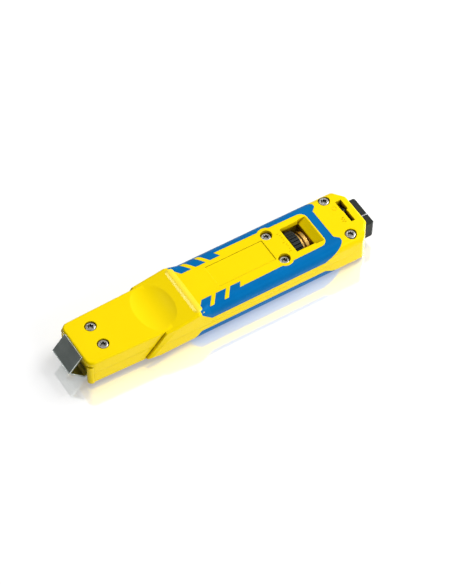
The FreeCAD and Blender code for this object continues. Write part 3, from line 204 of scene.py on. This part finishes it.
def soft_grip(name, deep, pale):
    """Soft-touch elastomer: dull, finely pebbled, a little lighter on the bends."""
    made = Recipe(name)
    clouds = made.noise(60.0, 5.0)
    pebbles = made.cells(1500.0)
    fine = made.noise(4200.0, 2.0)
    eased = made.rounded(0.3 * MM)
    edge_share = made.edges(eased)
    body = made.blend_colours(made.spread(clouds, 0.0, 1.0, 0.3, 0.7), deep, pale)
    lighter_bends = tuple(min(1.0, channel * 1.2) for channel in pale)
    colour = made.blend_colours(made.spread(edge_share, 0.0, 0.5), body, lighter_bends)
    roughness = made.spread(clouds, 0.36, 0.46, 0.3, 0.7)
    texture = made.bump(pebbles, 0.5, 0.00004, made.bump(fine, 0.3, 0.00002, eased))
    made.set(Specular_IOR_Level=0.5, IOR=1.3, Specular_Tint=(0.05, 0.5, 1.0, 1.0))
    return made.finish(colour, roughness, texture)


def brushed_metal(name, dark, pale, edge, rough, grain, along=(14.0, 900.0, 900.0)):
    """Rolled or ground metal: hair-fine lines in one direction, bright edges that are partly
    sheared bare metal and partly painted highlight lines.
    """
    made = Recipe(name)
    lines = made.noise(1.0, 4.0, 0.6, stretch=along)
    clouds = made.noise(90.0, 4.0)
    eased = made.rounded(0.18 * MM)
    bright = made.edges(eased, 0.01, 0.12)
    body = made.blend_colours(made.spread(clouds, 0.0, 1.0, 0.35, 0.7), dark, pale)
    # edge colour: partly sheared bare metal, partly painted highlight lines
    colour = made.blend_colours(bright, body, edge)
    roughness = made.spread(lines, rough - 0.09, rough + 0.1, 0.3, 0.7)
    texture = made.bump(lines, grain, 0.00003, eased)
    made.set(Metallic=1.0, Anisotropic=0.35)
    return made.finish(colour, roughness, texture)


def turned_metal(name, dark, pale, edge, rough):
    """Turned or plated metal: soft mottling, fine pits, bright edges that are partly rubbed metal
    and partly painted highlight lines, and painted shade in recesses.
    """
    made = Recipe(name)
    clouds = made.noise(240.0, 5.0)
    pits = made.noise(3200.0, 2.0)
    eased = made.rounded(0.12 * MM)
    bright = made.edges(eased, 0.01, 0.15)
    body = made.blend_colours(made.spread(clouds, 0.0, 1.0, 0.35, 0.65), dark, pale)
    # edge colour: partly rubbed metal, partly painted highlight lines
    rubbed_and_highlit = made.blend_colours(made.spread(bright, 0.0, 0.8), body, edge)
    # painted shade: recesses such as screw sockets darkened through a short occlusion reach
    painted_recess_shade = tuple(channel * 0.12 for channel in dark)
    colour = made.blend_colours(made.shelter(1.4 * MM, 0.25, 0.75), painted_recess_shade, rubbed_and_highlit)
    roughness = made.spread(pits, rough - 0.06, rough + 0.1, 0.3, 0.7)
    texture = made.bump(pits, 0.25, 0.00002, eased)
    made.set(Metallic=1.0)
    return made.finish(colour, roughness, texture)


YELLOW = moulded_plastic("yellow_moulded", (0.95, 0.70, 0.0), (0.99, 0.74, 0.0), 0.30,
                         grain=0.2, ease=0.5 * MM, specular=0.4, tint=(1.0, 0.88, 0.1))
YELLOW_RUBBED = moulded_plastic("yellow_rubbed", (0.95, 0.72, 0.02), (0.99, 0.76, 0.03), 0.2,
                                grain=0.1, ease=0.5 * MM, specular=1.0, tint=(1.0, 0.95, 0.5))
BLUE = soft_grip("blue_soft_grip", (0.0, 0.135, 0.40), (0.0, 0.158, 0.45))
# lift=9.0 paints bright highlight lines along the black parts' edges
BLACK = moulded_plastic("black_moulded", (0.011, 0.014, 0.013), (0.018, 0.021, 0.020), 0.4,
                        grain=0.5, ease=0.4 * MM, specular=0.3, lift=9.0)
HOOK_STEEL = brushed_metal("rolled_spring_steel", (0.44, 0.50, 0.48), (0.53, 0.59, 0.56),
                           (0.9, 0.9, 0.88), 0.42, 0.35, along=(900.0, 14.0, 900.0))
BLADE_STEEL = brushed_metal("ground_blade_steel", (0.60, 0.61, 0.62), (0.72, 0.73, 0.74),
                            (0.92, 0.92, 0.92), 0.3, 0.3)
ZINC = turned_metal("zinc_plated_steel", (0.36, 0.345, 0.315), (0.52, 0.505, 0.47),
                    (0.9, 0.9, 0.88), 0.32)
BRASS = turned_metal("turned_brass", (0.72, 0.42, 0.10), (0.84, 0.53, 0.15),
                     (0.95, 0.72, 0.36), 0.26)

BY_SLOT = {"shell_plastic": YELLOW, "grip_rubber": BLUE, "black_plastic": BLACK,
           "spring_steel": HOOK_STEEL, "blade_steel": BLADE_STEEL, "zinc_steel": ZINC,
           "brass": BRASS}

for part in frame["record"]["subparts"]:
    target = frame["nodes"][part["node"]].data
    target.materials.clear()
    target.materials.append(BY_SLOT[part["material_slot"]])


# ---------------------------------------------------------------- mesh helpers

def piece(name, mesh_builder, material, body, bevel=0.0):
    """An object from a bmesh, riding on a CAD body."""
    mesh = bpy.data.meshes.new(name)
    builder = bmesh.new()
    mesh_builder(builder)
    bmesh.ops.recalc_face_normals(builder, faces=builder.faces)
    builder.to_mesh(mesh)
    builder.free()
    made = bpy.data.objects.new(name, mesh)
    bpy.context.scene.collection.objects.link(made)
    mesh.materials.append(material)
    if bevel:
        eased = made.modifiers.new("eased_edges", "BEVEL")
        eased.width = bevel
        eased.segments = 2
        eased.limit_method = "ANGLE"
        eased.angle_limit = math.radians(40)
    for face in mesh.polygons:
        face.use_smooth = True
    if body is not None:
        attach(made, body)
    return made


def add_bar(builder, centre, size, turn=0.0, taper=0.75):
    """A raised bar with a narrower top, turned about +Z."""
    rotation = Matrix.Rotation(turn, 3, "Z")
    corners = []
    for z_sign, share in ((-1, 1.0), (1, taper)):
        for x_sign, y_sign in ((-1, -1), (1, -1), (1, 1), (-1, 1)):
            spot = Vector((x_sign * size[0] / 2, y_sign * size[1] / 2 * share,
                           z_sign * size[2] / 2))
            corners.append(builder.verts.new(rotation @ spot + centre))
    for index in range(4):
        after = (index + 1) % 4
        builder.faces.new((corners[index], corners[after], corners[4 + after],
                           corners[4 + index]))
    builder.faces.new(corners[3::-1])
    builder.faces.new(corners[4:])


def add_tube(builder, points, radius, sides=12):
    """A closed tube round a list of points, with capped ends."""
    rings = []
    count = len(points)
    side = None
    for index, point in enumerate(points):
        ahead = points[min(index + 1, count - 1)]
        behind = points[max(index - 1, 0)]
        along = (ahead - behind).normalized()
        if side is None:
            side = along.orthogonal().normalized()
        side = (side - along * side.dot(along)).normalized()
        other = along.cross(side)
        ring = []
        for step in range(sides):
            angle = 2 * math.pi * step / sides
            offset = side * math.cos(angle) + other * math.sin(angle)
            ring.append(builder.verts.new(point + offset * radius))
        rings.append(ring)
    for first, second in zip(rings, rings[1:]):
        for step in range(sides):
            after = (step + 1) % sides
            builder.faces.new((first[step], first[after], second[after], second[step]))
    builder.faces.new(rings[0][::-1])
    builder.faces.new(rings[-1])


# ---------------------------------------------------------------- hook spring as a wound coil

SPRING_WIRE_R = 0.19 * MM
SPRING_TURNS = 17
STEPS_PER_TURN = 18


def spring_points():
    """Helix along +X with a straight tail at each end that reaches its hook point."""
    centre_y = (SPRING_LOW.y + SPRING_HIGH.y) / 2
    centre_z = (SPRING_LOW.z + SPRING_HIGH.z) / 2
    radius = (SPRING_HIGH.z - SPRING_LOW.z) / 2 - SPRING_WIRE_R
    start = SPRING_LOW.x + 1.2 * MM
    length = SPRING_HIGH.x - 1.2 * MM - start
    steps = SPRING_TURNS * STEPS_PER_TURN
    points = [Vector((SPRING_LOW.x, centre_y, centre_z))]
    for step in range(steps + 1):
        share = step / steps
        angle = 2 * math.pi * SPRING_TURNS * share
        points.append(Vector((start + length * share, centre_y + radius * math.sin(angle),
                              centre_z + radius * math.cos(angle))))
    points.append(Vector((SPRING_HIGH.x, centre_y, centre_z)))
    return points


spring = piece("hook_spring_coil", lambda builder: add_tube(builder, spring_points(),
                                                            SPRING_WIRE_R, 8),
               ZINC, None)
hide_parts("hook_spring")
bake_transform(spring)


# ---------------------------------------------------------------- moulded marks on the top face

MARK_HEIGHT = 0.16 * MM
MARK_SINK = 0.1 * MM


def depth_marks(builder):
    """Scale ribs along the front edge of the thumbwheel's window."""
    count = 9
    pitch = 1.55 * MM
    rear_x = WHEEL_LOW.x - 1.0 * MM
    for index in range(count):
        long_one = index % 4 == 0
        length = 2.6 * MM if long_one else 1.5 * MM
        y = (index - (count - 1) / 2) * pitch
        centre = Vector((rear_x - length / 2, y, TOP_FACE + (MARK_HEIGHT - MARK_SINK) / 2))
        add_bar(builder, centre, (length, 0.42 * MM, MARK_HEIGHT + MARK_SINK))


def selector_marks(builder):
    """A ring and a wave in front of the slot: round cut and spiral cut."""
    z = TOP_FACE
    x = LEVER_LOW.x + 0.6 * MM
    ring = [Vector((x + 1.15 * MM * math.cos(2 * math.pi * step / 28),
                    5.4 * MM + 1.15 * MM * math.sin(2 * math.pi * step / 28), z))
            for step in range(29)]
    add_tube(builder, ring, 0.17 * MM, 6)
    wave = [Vector((x + 1.0 * MM * math.sin(2 * math.pi * 2.5 * step / 40),
                    -4.9 * MM + 3.4 * MM * step / 40, z)) for step in range(41)]
    add_tube(builder, wave, 0.17 * MM, 6)


CREST_X = -19.8 * MM
# section across the lip: x behind the crest and z above the top face, millimetres
CREST_LIP = [(-1.7, -0.8), (-1.45, -0.26), (-1.2, -0.19), (-0.9, -0.11), (-0.3, 0.07), (0.3, 0.24),
             (0.65, 0.3), (1.1, 0.29), (1.7, 0.22), (3.4, 0.01), (3.6, -0.6)]
CREST_STEPS = 20


def crest_lip(builder):
    """Low lip where the top face breaks towards the tongue; its ends dip into the rounding."""
    half = TOP_HALF_WIDTH - 0.9 * MM
    rings = []
    for step in range(-CREST_STEPS, CREST_STEPS + 1):
        share = step / CREST_STEPS
        dip = max(0.0, abs(share) - 0.85) / 0.15
        sink = dip * dip * 0.75
        rings.append([builder.verts.new((CREST_X + x * MM, share * half,
                                         TOP_FACE + (z - sink) * MM)) for x, z in CREST_LIP])
    count = len(CREST_LIP)
    for first, second in zip(rings, rings[1:]):
        for index in range(count):
            after = (index + 1) % count
            builder.faces.new((first[index], first[after], second[after], second[index]))
    builder.faces.new(rings[0][::-1])
    builder.faces.new(rings[-1])


piece("crest_lip", crest_lip, YELLOW_RUBBED, "housing")
piece("depth_scale_marks", depth_marks, YELLOW, "housing", bevel=0.06 * MM)
piece("selector_marks", selector_marks, YELLOW, "housing")


# ---------------------------------------------------------------- floor, light and camera

def floor():
    """A pale glossy sheet that glows a little, just under the knife."""
    mesh = bpy.data.meshes.new("floor")
    half = 6.0
    z = -0.02 * MM
    mesh.from_pydata([(-half, -half, z), (half, -half, z), (half, half, z), (-half, half, z)],
                     [], [(0, 1, 2, 3)])
    made = bpy.data.objects.new("floor", mesh)
    bpy.context.scene.collection.objects.link(made)
    material = bpy.data.materials.new("pale_floor")
    material.use_nodes = True
    shader = material.node_tree.nodes["Principled BSDF"]
    shader.inputs["Base Color"].default_value = (0.96, 0.96, 0.96, 1.0)
    shader.inputs["Metallic"].default_value = 0.45
    shader.inputs["Roughness"].default_value = 0.09
    shader.inputs["Emission Color"].default_value = (1.0, 1.0, 1.0, 1.0)
    shader.inputs["Emission Strength"].default_value = 0.26
    mesh.materials.append(material)


def area_light(name, place, size, power):
    """A white rectangular light that faces the middle of the floor."""
    data = bpy.data.lights.new(name, "AREA")
    data.shape = "RECTANGLE"
    data.size, data.size_y = size
    data.energy = power
    made = bpy.data.objects.new(name, data)
    bpy.context.scene.collection.objects.link(made)
    made.location = place
    made.rotation_mode = "QUATERNION"
    made.rotation_quaternion = (-Vector(place)).to_track_quat("-Z", "Y")
    return made


def studio_world():
    """Bright overhead, darker near the horizon and towards -X, white to the camera itself."""
    world = bpy.data.worlds.new("studio")
    bpy.context.scene.world = world
    world.use_nodes = True
    tree = world.node_tree
    background = tree.nodes["Background"]
    place = tree.nodes.new("ShaderNodeTexCoord")
    split = tree.nodes.new("ShaderNodeSeparateXYZ")
    tree.links.new(place.outputs["Generated"], split.inputs["Vector"])
    product = tree.nodes.new("ShaderNodeMath")
    product.operation = "MULTIPLY"
    ramps = (("Z", 0.22, 0.74, 0.2, 0.66), ("X", -0.6, 0.35, 0.12, 1.0))
    for factor, (axis, start, stop, low, high) in zip(product.inputs, ramps):
        ramp = tree.nodes.new("ShaderNodeMapRange")
        ramp.interpolation_type = "SMOOTHSTEP"
        ramp.inputs["From Min"].default_value = start
        ramp.inputs["From Max"].default_value = stop
        ramp.inputs["To Min"].default_value = low
        ramp.inputs["To Max"].default_value = high
        tree.links.new(split.outputs[axis], ramp.inputs["Value"])
        tree.links.new(ramp.outputs["Result"], factor)
    path = tree.nodes.new("ShaderNodeLightPath")
    seen = tree.nodes.new("ShaderNodeMath")
    seen.operation = "MAXIMUM"
    tree.links.new(product.outputs["Value"], seen.inputs[0])
    tree.links.new(path.outputs["Is Camera Ray"], seen.inputs[1])
    tree.links.new(seen.outputs["Value"], background.inputs["Strength"])
    background.inputs["Color"].default_value = (1.0, 1.0, 1.0, 1.0)


floor()
studio_world()
area_light("key_softbox", (1.05, 0.10, 1.0), (0.8, 0.8), 17.0)
area_light("crest_light", (-0.28, 0.79, 1.24), (0.2, 0.2), 1.4)
area_light("side_softbox", (0.50, -1.20, 0.78), (1.3, 0.35), 9.0)

CAMERA_PLACE = Vector((-0.4303, -0.7138, 1.0695))
CAMERA_RIGHT = Vector((0.8532, -0.5216, 0.0))
CAMERA_BACK = Vector((-0.3218, -0.5264, 0.7870))

camera_data = bpy.data.cameras.new("camera")
camera_data.lens = 166.4
camera_data.sensor_width = 36.0
camera_data.clip_start = 0.05
camera_data.clip_end = 50.0
camera = bpy.data.objects.new("camera", camera_data)
bpy.context.scene.collection.objects.link(camera)
back = CAMERA_BACK.normalized()
right = (CAMERA_RIGHT - back * CAMERA_RIGHT.dot(back)).normalized()
up = back.cross(right)
turn = Matrix((right, up, back)).transposed()
camera.matrix_world = Matrix.Translation(CAMERA_PLACE) @ turn.to_4x4()
bpy.context.scene.camera = camera
bpy.context.scene.view_settings.view_transform = "Standard"
